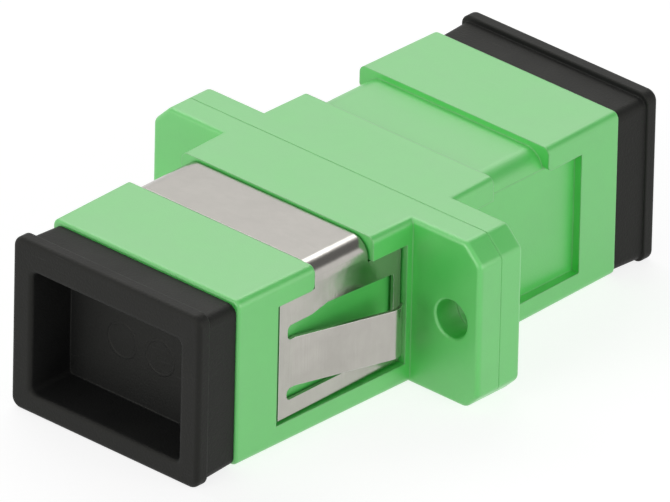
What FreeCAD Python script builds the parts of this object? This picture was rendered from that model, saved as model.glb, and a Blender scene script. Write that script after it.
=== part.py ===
"""SC simplex fibre adapter: two moulded halves, two latch inserts, a split sleeve,
a panel spring clip and two dust caps.

Frame: origin on the plugging axis in the seam between the halves.  X runs along the
flange, Y is the plugging axis with the clip's half on -Y, Z is up.  All sizes in mm.
The rear pieces are the front pieces turned half a turn about Z.
"""
import FreeCAD, Part
import math
import os

import Sketcher

DIMS = [
    # housing half
    ("half_long", 14.25, "seam to the open end"),
    ("body_high", 9.42, "height of body and flange"),
    ("body_wide_end", 12.8, "width at the open end"),
    ("body_draft", 0.3, "growth of each side from the open end to the seam"),
    ("flange_wide", 22.55, "over both ears"),
    ("flange_half_thick", 1.6, "one half's share of the flange"),
    ("flange_corner", 1.05, "cut across the ears' upper corners"),
    ("flange_corner_low", 0.88, "cut across the ears' lower corners"),
    ("screw_inset", 1.925, "ear's end to the centre of its hole"),
    ("screw_hole_r", 1.05, "passes a 2 mm screw"),
    ("port_wide", 9.1, "opening for the plug"),
    ("port_high", 7.5, "opening for the plug"),
    ("key_wide", 2.8, "keyway in the upper wall"),
    ("key_roof", 0.48, "wall left over the keyway"),
    ("key_long", 5.1, "keyway from the open end"),
    ("mouth_chamfer", 0.32, "lead-in round the port"),
    ("groove_inset", 2.9, "flange face to the clip groove"),
    ("groove_long", 4.25, "clip groove along the axis"),
    ("groove_deep", 0.35, "clip groove below the top"),
    ("groove_side_deep", 0.28, "clip groove into the side, at the open end's width"),
    ("groove_corner_r", 1.15, "groove floor's upper corners"),
    ("recess_inset", 0.4, "flange face to the side recess"),
    ("recess_end_wall", 2.9, "open end to the side recess"),
    ("recess_sill", 1.24, "body's underside to the side recess"),
    ("recess_lintel", 1.33, "body's top to the side recess"),
    ("recess_deep", 0.43, "side recess, at the open end's width"),
    ("edge_r", 0.42, "long outer edges"),
    ("end_r", 0.2, "edges of the open end"),
    ("collar_lip_r", 0.28, "collar's lower corner beside the groove"),
    ("ear_r", 0.5, "ends of the ear corner cuts"),
    ("flange_edge_r", 0.28, "outline of the flange face"),
    ("seam_chamfer", 0.045, "parting line"),
    ("hole_mouth_r", 0.15, "mouth of the ear holes"),
    # latch insert
    ("seat_ledge_side", 0.6, "insert's pocket beyond the port, each side"),
    ("seat_ledge_top", 0.23, "insert's pocket beyond the port, above and below"),
    ("base_thick", 1.2, "insert base, fills the pocket's depth"),
    ("base_fit", 0.03, "base to pocket, each side"),
    ("holder_wall", 0.7, "sleeve holder"),
    ("lip_thick", 0.65, "holder's end wall"),
    ("lip_reach", 0.15, "end wall over the sleeve's end"),
    ("holder_chamfer", 0.15, "both edges of the holder's end"),
    ("arm_gap", 0.5, "latch arm to the port's side"),
    ("arm_thick", 0.75, "latch arm"),
    ("arm_high", 2.8, "latch arm"),
    ("arm_long", 7.3, "insert base to the arm's end"),
    ("hook_reach", 0.55, "hook inward of the arm"),
    ("hook_long", 1.5, "hook along the axis"),
    # split sleeve
    ("sleeve_bore_r", 1.25, "inside, for a 2.5 mm ferrule"),
    ("sleeve_wall", 0.35, "wall"),
    ("sleeve_long", 11.4, "length"),
    ("sleeve_slit", 0.3, "slit along the sleeve"),
    ("sleeve_fit", 0.05, "sleeve to holder, radial and at each end"),
    # spring clip
    ("sheet", 0.19, "steel sheet"),
    ("clip_seat", 0.01, "sheet to the groove's floor"),
    ("strip_gap_near", 0.1, "strip to the groove's wall by the flange"),
    ("strip_gap_far", 0.24, "strip to the groove's wall by the collar"),
    ("bend_r", 0.85, "inside of the upper bends"),
    ("plate_gap_near", 0.1, "side plate to the recess end by the flange"),
    ("plate_gap_far", 0.26, "side plate to the recess end by the collar"),
    ("plate_gap_low", 0.14, "side plate to the recess sill"),
    ("plate_gap_top", 0.1, "side plate to the recess lintel"),
    ("near_strip", 0.5, "plate between the window and its edge by the flange"),
    ("far_strip", 0.62, "plate between the slots and its edge by the collar"),
    ("lower_arm", 0.92, "plate below the window"),
    ("upper_arm", 1.4, "plate above the upper slot"),
    ("window_rise", 0.27, "upper edge's step past the slot"),
    ("window_fall", 0.3, "upper edge's fall from the step to the flange end"),
    ("rise_start", 1.75, "closed end of the slot to the step"),
    ("rise_long", 1.2, "the step along the axis"),
    ("slot_r", 0.28, "closed ends of the slots"),
    ("window_r", 0.2, "window corners by the flange"),
    ("lower_slot", 0.68, "height of the lower slot"),
    ("tongue_wide", 2.78, "tongue between the slots"),
    ("tongue_stub", 0.6, "closed end of the slots to the tongue's bend"),
    ("tongue_lean", 17.5, "degrees, tongue off the plate"),
    ("tip_turn", 60.0, "degrees, tip turned back in"),
    ("tip_long", 1.0, "tip past its bend"),
    ("tip_bend_r", 1.05, "outside of the tip's bend"),
    ("tip_corner_r", 0.4, "corners of the tip"),
    ("panel_space", 1.6, "flange face to the tip, for the panel"),
    # dust cap
    ("cap_rim_wide", 12.85, "outer rim"),
    ("cap_rim_high", 9.8, "outer rim"),
    ("cap_rim_thick", 0.8, "outer rim"),
    ("cap_neck_long", 2.1, "between rim and housing"),
    ("cap_rim_drop", 0.05, "outer rim below the axis"),
    ("cap_neck_drop", 0.14, "neck below the axis"),
    ("cap_neck_wide", 12.46, "neck where it meets the housing"),
    ("cap_neck_high", 9.2, "neck where it meets the housing"),
    ("cap_neck_far_wide", 12.6, "neck where it meets the rim"),
    ("cap_neck_far_high", 9.35, "neck where it meets the rim"),
    ("cap_pull_wide", 10.2, "outer recess"),
    ("cap_pull_high", 6.96, "outer recess"),
    ("cap_pull_deep", 2.7, "outer recess"),
    ("cap_pull_draft", 0.25, "outer recess, narrowing each side"),
    ("cap_pull_drop", 0.3, "outer recess below the axis"),
    ("cap_plug_fit", 0.04, "plug to port, each side"),
    ("cap_plug_long", 4.9, "plug inside the port"),
    ("cap_plug_wall", 0.75, "plug walls"),
    ("cap_floor", 0.7, "between the two hollows"),
    ("cap_rim_r", 0.6, "rim corners"),
    ("cap_neck_r", 0.55, "neck corners"),
    ("cap_edge_r", 0.27, "edges of the rim's face"),
    ("cap_back_r", 0.08, "edges of the rim's back"),
    ("cap_pull_r", 0.3, "recess corners"),
    ("cap_plug_r", 0.4, "plug corners"),
    # drawing aid
    ("beyond", 3.0, "how far cuts run past the material"),
]

# places that several pieces share, as expressions in the table's names
SCREW_OUT = "(flange_wide/2 - screw_inset)"
GROOVE_FAR = "(flange_half_thick + groove_inset + groove_long)"
GROOVE_TOP = "(body_high/2 - groove_deep)"
GROOVE_SIDE = "(body_wide_end/2 - groove_side_deep)"
RECESS_NEAR = "(flange_half_thick + recess_inset)"
RECESS_FAR = "(half_long - recess_end_wall)"
RECESS_LOW = "(-body_high/2 + recess_sill)"
RECESS_TOP = "(body_high/2 - recess_lintel)"
RECESS_SIDE = "(body_wide_end/2 - recess_deep)"
SEAT_WIDE = "(port_wide + 2*seat_ledge_side)"
SEAT_HIGH = "(port_high + 2*seat_ledge_top)"
SLEEVE_R = "(sleeve_bore_r + sleeve_wall)"
CAVITY_R = "(sleeve_bore_r + sleeve_wall + sleeve_fit)"
CAVITY_LONG = "(sleeve_long/2 + sleeve_fit)"
SHEET_IN = "(body_wide_end/2 - groove_side_deep + clip_seat)"
SHEET_OUT = "(body_wide_end/2 - groove_side_deep + clip_seat + sheet)"
PLATE_NEAR = "(flange_half_thick + recess_inset + plate_gap_near)"
PLATE_FAR = "(half_long - recess_end_wall - plate_gap_far)"
PLATE_LOW = "(-body_high/2 + recess_sill + plate_gap_low)"
PLATE_TOP = "(body_high/2 - recess_lintel - plate_gap_top)"
SLOT_END = "(half_long - recess_end_wall - plate_gap_far - far_strip)"
TONGUE_LOW = "(-body_high/2 + recess_sill + plate_gap_low + lower_arm + lower_slot)"
TONGUE_BEND = "(half_long - recess_end_wall - plate_gap_far - far_strip - tongue_stub)"

doc = FreeCAD.newDocument("adapter")


def dimension_table():
    """Write every driving size into the spreadsheet, one alias each."""
    table = doc.addObject("Spreadsheet::Sheet", "Dims")
    for row, (alias, value, note) in enumerate(DIMS, start=1):
        table.set("A%d" % row, alias)
        table.set("B%d" % row, str(value))
        table.set("C%d" % row, note)
        table.setAlias("B%d" % row, alias)
    doc.recompute()
    return table


SHEET = dimension_table()


def bound(expression):
    """An expression with each size taken from the spreadsheet, for setExpression."""
    text, word = "", ""
    for char in expression + " ":
        if char.isalnum() or char == "_" or (char == "." and word):
            word += char
            continue
        plain = not word[:1].isalpha() or word in ("sin", "cos", "tan")
        text += word if plain else "Dims." + word
        text += char
        word = ""
    return text.strip()


def new_body(label):
    body = doc.addObject("PartDesign::Body", label)
    body.Label = label
    return body


def new_sketch(body, name, role, shift=None):
    """Empty sketch on an origin plane, moved along the plane's normal by an expression."""
    sketch = body.newObject("Sketcher::SketchObject", name)
    plane = next(f for f in body.Origin.OriginFeatures if f.Role == role)
    sketch.AttachmentSupport = [(plane, "")]
    sketch.MapMode = "FlatFace"
    if shift:
        sketch.setExpression("AttachmentOffset.Base.z", bound(shift))
    return sketch


def drive(sketch, constraint, name, expression):
    """Add one constraint under a name and bind it to an expression."""
    sketch.renameConstraint(sketch.addConstraint(constraint), name)
    sketch.setExpression("Constraints." + name, bound(expression))


def outline(body, name, role, corners, shift=None):
    """Closed polygon; each corner is a pair of expressions, tied to the sketch origin."""
    sketch = new_sketch(body, name, role, shift)
    count = len(corners)
    turns = [2 * math.pi * i / count for i in range(count)]
    start = [FreeCAD.Vector(math.cos(a), math.sin(a), 0) for a in turns]
    for i in range(count):
        sketch.addGeometry(Part.LineSegment(start[i], start[(i + 1) % count]))
    for i in range(count):
        sketch.addConstraint(Sketcher.Constraint("Coincident", i, 2, (i + 1) % count, 1))
    for i, (across, up) in enumerate(corners):
        x = Sketcher.Constraint("DistanceX", -1, 1, i, 1, start[i].x)
        y = Sketcher.Constraint("DistanceY", -1, 1, i, 1, start[i].y)
        drive(sketch, x, "x%d" % i, across)
        drive(sketch, y, "y%d" % i, up)
    doc.recompute()
    return sketch


def box_outline(body, name, role, wide, high, shift=None):
    """Rectangle centred on the sketch origin."""
    a, b = wide + "/2", high + "/2"
    corners = [("-" + a, "-" + b), (a, "-" + b), (a, b), ("-" + a, b)]
    return outline(body, name, role, corners, shift)


def circles(body, name, role, rings, shift=None):
    """Circles on the sketch's X axis, given as (x, radius) expressions."""
    sketch = new_sketch(body, name, role, shift)
    for i, (x, r) in enumerate(rings):
        centre = FreeCAD.Vector(i, 0, 0)
        sketch.addGeometry(Part.Circle(centre, FreeCAD.Vector(0, 0, 1), 1 + 0.5 * i))
        sketch.addConstraint(Sketcher.Constraint("PointOnObject", i, 3, -1))
        drive(sketch, Sketcher.Constraint("DistanceX", -1, 1, i, 3, float(i)), "x%d" % i, x)
        drive(sketch, Sketcher.Constraint("Radius", i, 1 + 0.5 * i), "r%d" % i, r)
    doc.recompute()
    return sketch


def sweep(body, kind, sketch, length, reversed_way=False, both_ways=False):
    """Pad or pocket of a sketch by an expression."""
    feature = body.newObject("PartDesign::" + kind, sketch.Name + "_" + kind.lower())
    feature.Profile = sketch
    feature.setExpression("Length", bound(length))
    feature.Reversed = reversed_way
    if both_ways:
        feature.SideType = "Symmetric"
    before = body.Tip.Shape.Volume if body.Tip and body.Tip.Name != feature.Name else None
    doc.recompute()
    if kind == "Pocket" and before is not None and feature.Shape.Volume > before - 1e-6:
        raise ValueError(feature.Name + " cuts nothing")
    return feature


def loft(body, kind, name, start, end):
    """Straight-sided loft between two outlines, added to the body or cut from it."""
    feature = body.newObject("PartDesign::" + kind, name)
    feature.Profile = start
    feature.Sections = [end]
    feature.Ruled = True
    doc.recompute()
    return feature


def dress(body, kind, name, radius, test):
    """Fillet or chamfer those of the tip's edges whose bounding boxes pass a test."""
    base = body.Tip
    edges = enumerate(base.Shape.Edges, start=1)
    names = ["Edge%d" % i for i, edge in edges if test(edge.BoundBox)]
    if not names:
        raise ValueError("no edges for " + name)
    feature = body.newObject("PartDesign::" + kind, name)
    feature.Base = (base, names)
    feature.setExpression("Radius" if kind == "Fillet" else "Size", bound(radius))
    doc.recompute()
    return feature


def size(alias):
    return SHEET.get(alias)


def near(value, target):
    return abs(value - target) < 0.02


def along(box, axis):
    """True for the box of a straight edge that runs along one axis."""
    spans = {"x": box.XLength, "y": box.YLength, "z": box.ZLength}
    return spans.pop(axis) > 0.02 and all(span < 0.02 for span in spans.values())


def flat_at(box, y):
    """True for the box of an edge that lies in the plane at this y."""
    return near(box.YMin, y) and near(box.YMax, y)


def half_turned(body, turned):
    """Stand the body in the frame, turned half a turn about Z for a rear piece."""
    turn = FreeCAD.Rotation(180 if turned else 0, 0, 0)
    body.Placement = FreeCAD.Placement(FreeCAD.Vector(0, 0, 0), turn)
    return body


def housing(label, turned):
    """One moulded half with its share of the flange, the port, clip groove and recesses."""
    body = new_body(label)
    end, face, top = size("half_long"), size("flange_half_thick"), size("body_high") / 2
    side, ear = size("body_wide_end") / 2, size("flange_wide") / 2
    port_x, port_z = size("port_wide") / 2, size("port_high") / 2

    seam_w = "body_wide_end/2 + body_draft"
    trunk = outline(body, label + "_trunk", "XY_Plane", [
        ("-body_wide_end/2", "-half_long"), ("body_wide_end/2", "-half_long"),
        (seam_w, "0"), ("-(" + seam_w + ")", "0")])
    sweep(body, "Pad", trunk, "body_high", both_ways=True)

    w, h = "flange_wide/2", "body_high/2"
    wc, hc = "(%s - flange_corner)" % w, "(%s - flange_corner)" % h
    wl, hl = "(%s - flange_corner_low)" % w, "(%s - flange_corner_low)" % h
    flange = outline(body, label + "_flange", "XZ_Plane", [
        ("-" + w, "-" + hl), ("-" + wl, "-" + h), (wl, "-" + h), (w, "-" + hl),
        (w, hc), (wc, h), ("-" + wc, h), ("-" + w, hc)])
    sweep(body, "Pad", flange, "flange_half_thick")
    dress(body, "Fillet", label + "_ear_corners", "ear_r",
          lambda b: along(b, "y") and near(b.YMin, -face) and abs(b.XMin) > side + 1)
    dress(body, "Fillet", label + "_flange_edges", "flange_edge_r",
          lambda b: flat_at(b, -face) and max(abs(b.XMin), abs(b.XMax)) > side + 0.5)

    dress(body, "Fillet", label + "_long_edges", "edge_r",
          lambda b: near(b.ZMin, b.ZMax) and near(abs(b.ZMin), top) and b.XLength < 1
          and near(b.YMin, -end) and b.YLength > end / 2)

    low = RECESS_TOP + " - 0.1*beyond"
    groove = outline(body, label + "_groove", "XZ_Plane", [
        ("-" + GROOVE_SIDE, low), ("-" + GROOVE_SIDE, GROOVE_TOP),
        (GROOVE_SIDE, GROOVE_TOP), (GROOVE_SIDE, low),
        (GROOVE_SIDE + " + beyond", low), (GROOVE_SIDE + " + beyond", GROOVE_TOP + " + beyond"),
        ("-" + GROOVE_SIDE + " - beyond", GROOVE_TOP + " + beyond"),
        ("-" + GROOVE_SIDE + " - beyond", low)], shift=GROOVE_FAR)
    sweep(body, "Pocket", groove, "groove_long")
    floor_x = side - size("groove_side_deep")
    floor_z = top - size("groove_deep")
    dress(body, "Fillet", label + "_groove_corners", "groove_corner_r",
          lambda b: along(b, "y") and near(abs(b.XMin), floor_x) and near(b.ZMin, floor_z))

    for hand, sign in (("right", ""), ("left", "-")):
        recess = outline(body, "%s_recess_%s" % (label, hand), "YZ_Plane", [
            ("-" + RECESS_FAR, RECESS_LOW), ("-" + RECESS_NEAR, RECESS_LOW),
            ("-" + RECESS_NEAR, RECESS_TOP), ("-" + RECESS_FAR, RECESS_TOP)],
            shift=sign + RECESS_SIDE)
        sweep(body, "Pocket", recess, "beyond", reversed_way=(hand == "right"))

    far = -(size("flange_half_thick") + size("groove_inset") + size("groove_long"))
    dress(body, "Fillet", label + "_collar_lips", "collar_lip_r",
          lambda b: along(b, "x") and near(b.YMin, far) and b.ZMin > 0 and b.XLength < 1)

    port = box_outline(body, label + "_port", "XZ_Plane", "port_wide", "port_high", "half_long")
    sweep(body, "Pocket", port, "half_long")
    seat = box_outline(body, label + "_seat", "XZ_Plane", SEAT_WIDE, SEAT_HIGH, "base_thick")
    sweep(body, "Pocket", seat, "base_thick")
    dress(body, "Chamfer", label + "_lead_in", "mouth_chamfer",
          lambda b: flat_at(b, -end) and max(abs(b.XMin), abs(b.XMax)) < port_x + 0.1
          and max(abs(b.ZMin), abs(b.ZMax)) < port_z + 0.1)
    key = outline(body, label + "_keyway", "XZ_Plane", [
        ("-key_wide/2", "0"), ("key_wide/2", "0"),
        ("key_wide/2", "body_high/2 - key_roof"), ("-key_wide/2", "body_high/2 - key_roof")],
        shift="half_long")
    sweep(body, "Pocket", key, "key_long")
    holes = circles(body, label + "_screw_holes", "XZ_Plane", [
        ("-" + SCREW_OUT, "screw_hole_r"), (SCREW_OUT, "screw_hole_r")],
        shift="flange_half_thick")
    sweep(body, "Pocket", holes, "flange_half_thick")

    dress(body, "Fillet", label + "_hole_mouths", "hole_mouth_r",
          lambda b: flat_at(b, -face) and near(b.XLength, b.ZLength) and b.XLength > 1)
    dress(body, "Fillet", label + "_open_end", "end_r",
          lambda b: flat_at(b, -end) and (max(abs(b.XMin), abs(b.XMax)) > side - 0.5
                                          or max(abs(b.ZMin), abs(b.ZMax)) > top - 0.1))
    dress(body, "Chamfer", label + "_parting_line", "seam_chamfer",
          lambda b: flat_at(b, 0) and (max(abs(b.XMin), abs(b.XMax)) > ear - 1.3
                                       or near(abs(b.ZMin), top)))
    return half_turned(body, turned)


def latch_insert(label, turned):
    """Base trapped in the seam, sleeve holder and two latch arms reaching into the port."""
    body = new_body(label)
    x, z = "(%s/2 - base_fit)" % SEAT_WIDE, "(%s/2 - base_fit)" % SEAT_HIGH
    base = outline(body, label + "_base", "XZ_Plane", [
        ("-" + x, "-" + z), (x, "-" + z), (x, z), ("-" + x, z)])
    sweep(body, "Pad", base, "base_thick")
    holder = circles(body, label + "_holder", "XZ_Plane", [("0", CAVITY_R + " + holder_wall")])
    sweep(body, "Pad", holder, CAVITY_LONG + " + lip_thick")

    tip = "-(base_thick + arm_long"
    for hand, sign in (("right", ""), ("left", "-")):
        back = sign + "(port_wide/2 - arm_gap)"
        face = sign + "(port_wide/2 - arm_gap - arm_thick)"
        hook = sign + "(port_wide/2 - arm_gap - arm_thick - hook_reach)"
        arm = outline(body, "%s_arm_%s" % (label, hand), "XY_Plane", [
            (face, "-base_thick/2"), (back, "-base_thick/2"), (back, tip + ")"),
            (face, tip + ")"), (hook, tip + " - hook_long/2)"), (hook, tip + " - hook_long)"),
            (face, tip + " - hook_long)")])
        sweep(body, "Pad", arm, "arm_high", both_ways=True)

    cavity = circles(body, label + "_cavity", "XZ_Plane", [("0", CAVITY_R)], shift=CAVITY_LONG)
    sweep(body, "Pocket", cavity, CAVITY_LONG)
    lip = circles(body, label + "_lip", "XZ_Plane", [("0", SLEEVE_R + " - lip_reach")],
                  shift=CAVITY_LONG + " + lip_thick")
    sweep(body, "Pocket", lip, "lip_thick + sleeve_fit")
    holder_end = -(size("sleeve_long") / 2 + size("sleeve_fit") + size("lip_thick"))
    dress(body, "Chamfer", label + "_holder_end", "holder_chamfer",
          lambda b: flat_at(b, holder_end) and near(b.XLength, b.ZLength))
    return half_turned(body, turned)


def sleeve(label):
    """Split alignment sleeve, slit towards the top."""
    body = new_body(label)
    ring = circles(body, label + "_ring", "XZ_Plane", [("0", SLEEVE_R), ("0", "sleeve_bore_r")])
    sweep(body, "Pad", ring, "sleeve_long", both_ways=True)
    slit = outline(body, label + "_slit", "XZ_Plane", [
        ("-sleeve_slit/2", "0"), ("sleeve_slit/2", "0"),
        ("sleeve_slit/2", SLEEVE_R + " + beyond"), ("-sleeve_slit/2", SLEEVE_R + " + beyond")])
    sweep(body, "Pocket", slit, "sleeve_long + beyond", both_ways=True)
    return half_turned(body, False)


def spring_clip(label):
    """One bent sheet: a strip over the groove, a windowed plate and a tongue on each side."""
    body = new_body(label)
    top_in, top_out = GROOVE_TOP + " + clip_seat", GROOVE_TOP + " + clip_seat + sheet"
    foot = PLATE_TOP + " - upper_arm/2"
    strip = outline(body, label + "_strip", "XZ_Plane", [
        ("-" + SHEET_OUT, foot), ("-" + SHEET_IN, foot), ("-" + SHEET_IN, top_in),
        (SHEET_IN, top_in), (SHEET_IN, foot), (SHEET_OUT, foot),
        (SHEET_OUT, top_out), ("-" + SHEET_OUT, top_out)],
        shift=GROOVE_FAR + " - strip_gap_far")
    sweep(body, "Pad", strip, "groove_long - strip_gap_near - strip_gap_far", reversed_way=True)
    crest = size("body_high") / 2 - size("groove_deep") + size("clip_seat")
    flank = size("body_wide_end") / 2 - size("groove_side_deep") + size("clip_seat")
    for face, z, x, r in (("in", crest, flank, "bend_r"),
                          ("out", crest + size("sheet"), flank + size("sheet"), "bend_r + sheet")):
        dress(body, "Fillet", "%s_bends_%s" % (label, face), r,
              lambda b, z=z, x=x: along(b, "y") and near(b.ZMin, z) and near(abs(b.XMin), x))

    for hand, sign in (("right", ""), ("left", "-")):
        plate = outline(body, "%s_plate_%s" % (label, hand), "YZ_Plane", [
            ("-" + PLATE_FAR, PLATE_LOW), ("-" + PLATE_NEAR, PLATE_LOW),
            ("-" + PLATE_NEAR, PLATE_TOP), ("-" + PLATE_FAR, PLATE_TOP)],
            shift=sign + SHEET_IN)
        sweep(body, "Pad", plate, "sheet", reversed_way=(hand == "left"))

    near_end = "-(%s + near_strip)" % PLATE_NEAR
    slot_top = "(%s - upper_arm)" % PLATE_TOP
    tongue_top = "(%s + tongue_wide)" % TONGUE_LOW
    window = outline(body, label + "_window", "YZ_Plane", [
        ("-" + SLOT_END, PLATE_LOW + " + lower_arm"), (near_end, PLATE_LOW + " + lower_arm"),
        (near_end, slot_top + " + window_rise - window_fall"),
        ("-(%s - rise_start - rise_long)" % SLOT_END, slot_top + " + window_rise"),
        ("-(%s - rise_start)" % SLOT_END, slot_top), ("-" + SLOT_END, slot_top),
        ("-" + SLOT_END, tongue_top), ("-" + TONGUE_BEND, tongue_top),
        ("-" + TONGUE_BEND, TONGUE_LOW), ("-" + SLOT_END, TONGUE_LOW)])
    sweep(body, "Pocket", window, "body_wide_end + beyond", both_ways=True)

    slot_y = -(size("half_long") - size("recess_end_wall") - size("plate_gap_far")
               - size("far_strip"))
    open_y = -(size("flange_half_thick") + size("recess_inset") + size("plate_gap_near")
               + size("near_strip"))
    dress(body, "Fillet", label + "_slot_ends", "slot_r",
          lambda b: along(b, "x") and near(b.YMin, slot_y))
    dress(body, "Fillet", label + "_window_corners", "window_r",
          lambda b: along(b, "x") and near(b.YMin, open_y))

    lean, back = "tongue_lean", "(tongue_lean - tip_turn)"
    tip_y = "-(flange_half_thick + panel_space)"
    knee_y = "(%s - tip_long*cos%s)" % (tip_y, back)
    knee_x = "(%s + (%s + %s)*tan(%s))" % (SHEET_OUT, knee_y, TONGUE_BEND, lean)
    tip_x = "(%s + tip_long*sin%s)" % (knee_x, back)
    mitre = "(tongue_lean - tip_turn/2)"
    for hand, sign in (("right", ""), ("left", "-")):
        tongue = outline(body, "%s_tongue_%s" % (label, hand), "XY_Plane", [
            (sign + SHEET_OUT, "-%s - tongue_stub/2" % TONGUE_BEND),
            (sign + SHEET_OUT, "-" + TONGUE_BEND),
            (sign + knee_x, knee_y), (sign + tip_x, tip_y),
            ("%s(%s - sheet*cos%s)" % (sign, tip_x, back), "%s + sheet*sin%s" % (tip_y, back)),
            ("%s(%s - sheet*cos%s/cos(tip_turn/2))" % (sign, knee_x, mitre),
             "%s + sheet*sin%s/cos(tip_turn/2)" % (knee_y, mitre)),
            (sign + SHEET_IN, "-%s + sheet*tan(%s/2)" % (TONGUE_BEND, lean)),
            (sign + SHEET_IN, "-%s - tongue_stub/2" % TONGUE_BEND)], shift=TONGUE_LOW)
        sweep(body, "Pad", tongue, "tongue_wide")

    limit = -(size("flange_half_thick") + size("panel_space"))
    sheet = size("sheet")
    dress(body, "Fillet", label + "_tip_corners", "tip_corner_r",
          lambda b: near(b.ZMin, b.ZMax) and near(b.YMax, limit) and b.XLength < sheet
          and b.YMin > limit - sheet)
    knee = limit - size("tip_long") * math.cos(math.radians(size("tongue_lean")
                                                            - size("tip_turn")))
    for face, r in (("in", "tip_bend_r - sheet"), ("out", "tip_bend_r")):
        edges = [b.XMin for b in (e.BoundBox for e in body.Tip.Shape.Edges)
                 if along(b, "z") and abs(b.YMin - knee) < sheet and b.XMin > flank]
        x = min(edges) if face == "in" else max(edges)
        dress(body, "Fillet", "%s_tip_bends_%s" % (label, face), r,
              lambda b, x=x: along(b, "z") and near(abs(b.XMin), x) and near(b.XMin, b.XMax)
              and abs(b.YMin - knee) < sheet)
    return half_turned(body, False)


def dust_cap(label, turned):
    """Plug in the port, neck and rim outside it, a recess in the outer face."""
    body = new_body(label)
    rim_back, rim_face = "(half_long + cap_neck_long)", "(half_long + cap_neck_long + cap_rim_thick)"
    face = size("half_long") + size("cap_neck_long") + size("cap_rim_thick")
    back = face - size("cap_rim_thick")

    plug_wide, plug_high = "(port_wide - 2*cap_plug_fit)", "(port_high - 2*cap_plug_fit)"
    plug = box_outline(body, label + "_plug", "XZ_Plane", plug_wide, plug_high,
                       "half_long - cap_plug_long")
    sweep(body, "Pad", plug, "cap_plug_long + cap_neck_long/2")
    dress(body, "Fillet", label + "_plug_corners", "cap_plug_r", lambda b: along(b, "y"))
    def dropped(part, wide, high, drop, shift):
        """Rectangle whose centre lies a little below the plugging axis."""
        x, low, high = wide + "/2", "-%s/2 - %s" % (high, drop), "%s/2 - %s" % (high, drop)
        return outline(body, "%s_%s" % (label, part), "XZ_Plane", [
            ("-" + x, low), (x, low), (x, high), ("-" + x, high)], shift)

    neck = [dropped("neck_far", "cap_neck_far_wide", "cap_neck_far_high", "cap_neck_drop",
                    "half_long + cap_neck_long"),
            dropped("neck_foot", "cap_neck_wide", "cap_neck_high", "cap_neck_drop", "half_long")]
    loft(body, "AdditiveLoft", label + "_neck", *neck)
    dress(body, "Fillet", label + "_neck_corners", "cap_neck_r",
          lambda b: near(b.YMin, -back) and b.YLength > 1 and b.XLength > 0.02)
    rim = dropped("rim", "cap_rim_wide", "cap_rim_high", "cap_rim_drop", rim_back)
    sweep(body, "Pad", rim, "cap_rim_thick")
    rim_x, rim_z, drop = size("cap_rim_wide") / 2, size("cap_rim_high") / 2, size("cap_rim_drop")
    dress(body, "Fillet", label + "_rim_corners", "cap_rim_r",
          lambda b: along(b, "y") and near(abs(b.XMin), rim_x))

    rings = [dropped("pull_" + part, "(cap_pull_wide - 2*%s)" % draft,
                     "(cap_pull_high - 2*%s)" % draft, "cap_pull_drop",
                     rim_face + " - " + depth)
             for part, draft, depth in (("mouth", "0", "0"),
                                        ("floor", "cap_pull_draft", "cap_pull_deep"))]
    loft(body, "SubtractiveLoft", label + "_pull", *rings)
    dress(body, "Fillet", label + "_pull_corners", "cap_pull_r",
          lambda b: near(b.YMin, -face) and b.YLength > 1 and b.XLength > 0.02)

    hollow = box_outline(body, label + "_hollow", "XZ_Plane",
                         "(%s - 2*cap_plug_wall)" % plug_wide,
                         "(%s - 2*cap_plug_wall)" % plug_high,
                         rim_face + " - cap_pull_deep - cap_floor")
    sweep(body, "Pocket", hollow, "cap_plug_long + beyond")
    dress(body, "Fillet", label + "_face_edges", "cap_edge_r", lambda b: flat_at(b, -face))
    dress(body, "Fillet", label + "_back_edges", "cap_back_r",
          lambda b: flat_at(b, -back) and (max(abs(b.XMin), abs(b.XMax)) > rim_x - 0.05
                                           or b.ZMax > rim_z - drop - 0.05
                                           or -b.ZMin > rim_z + drop - 0.05))
    return half_turned(body, turned)


def checked(body):
    """The body, once its shape is known to be one valid solid."""
    shape = body.Shape
    if shape.isNull() or not shape.isValid() or len(shape.Solids) != 1:
        raise ValueError(body.Label + " is not one valid solid")
    return body


def main():
    bodies = [
        housing("housing_front", False), housing("housing_rear", True),
        latch_insert("latch_insert_front", False), latch_insert("latch_insert_rear", True),
        sleeve("alignment_sleeve"), spring_clip("spring_clip"),
        dust_cap("dust_cap_front", False), dust_cap("dust_cap_rear", True),
    ]
    doc.recompute()
    failed = [o.Name for o in doc.Objects if "Invalid" in o.State or "Error" in o.State]
    if failed:
        raise ValueError("failed objects: " + ", ".join(failed))
    os.makedirs("parts", exist_ok=True)
    for body in bodies:
        checked(body).Shape.exportStep("parts/%s.step" % body.Label)


main()
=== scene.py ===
"""SC simplex fibre adapter, finished for the studio: moulded green halves, a rolled steel
panel clip and two black dust caps, on a pale floor.

Lengths are in metres, in the part's own frame: X along the flange, Y along the plugging
axis with the clip's half on -Y, Z up.
"""
import math

import bmesh
import bpy
import numpy as np
from bpy.props import (FloatProperty, FloatVectorProperty, IntProperty, PointerProperty)
from mathutils import Matrix, Vector


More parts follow.
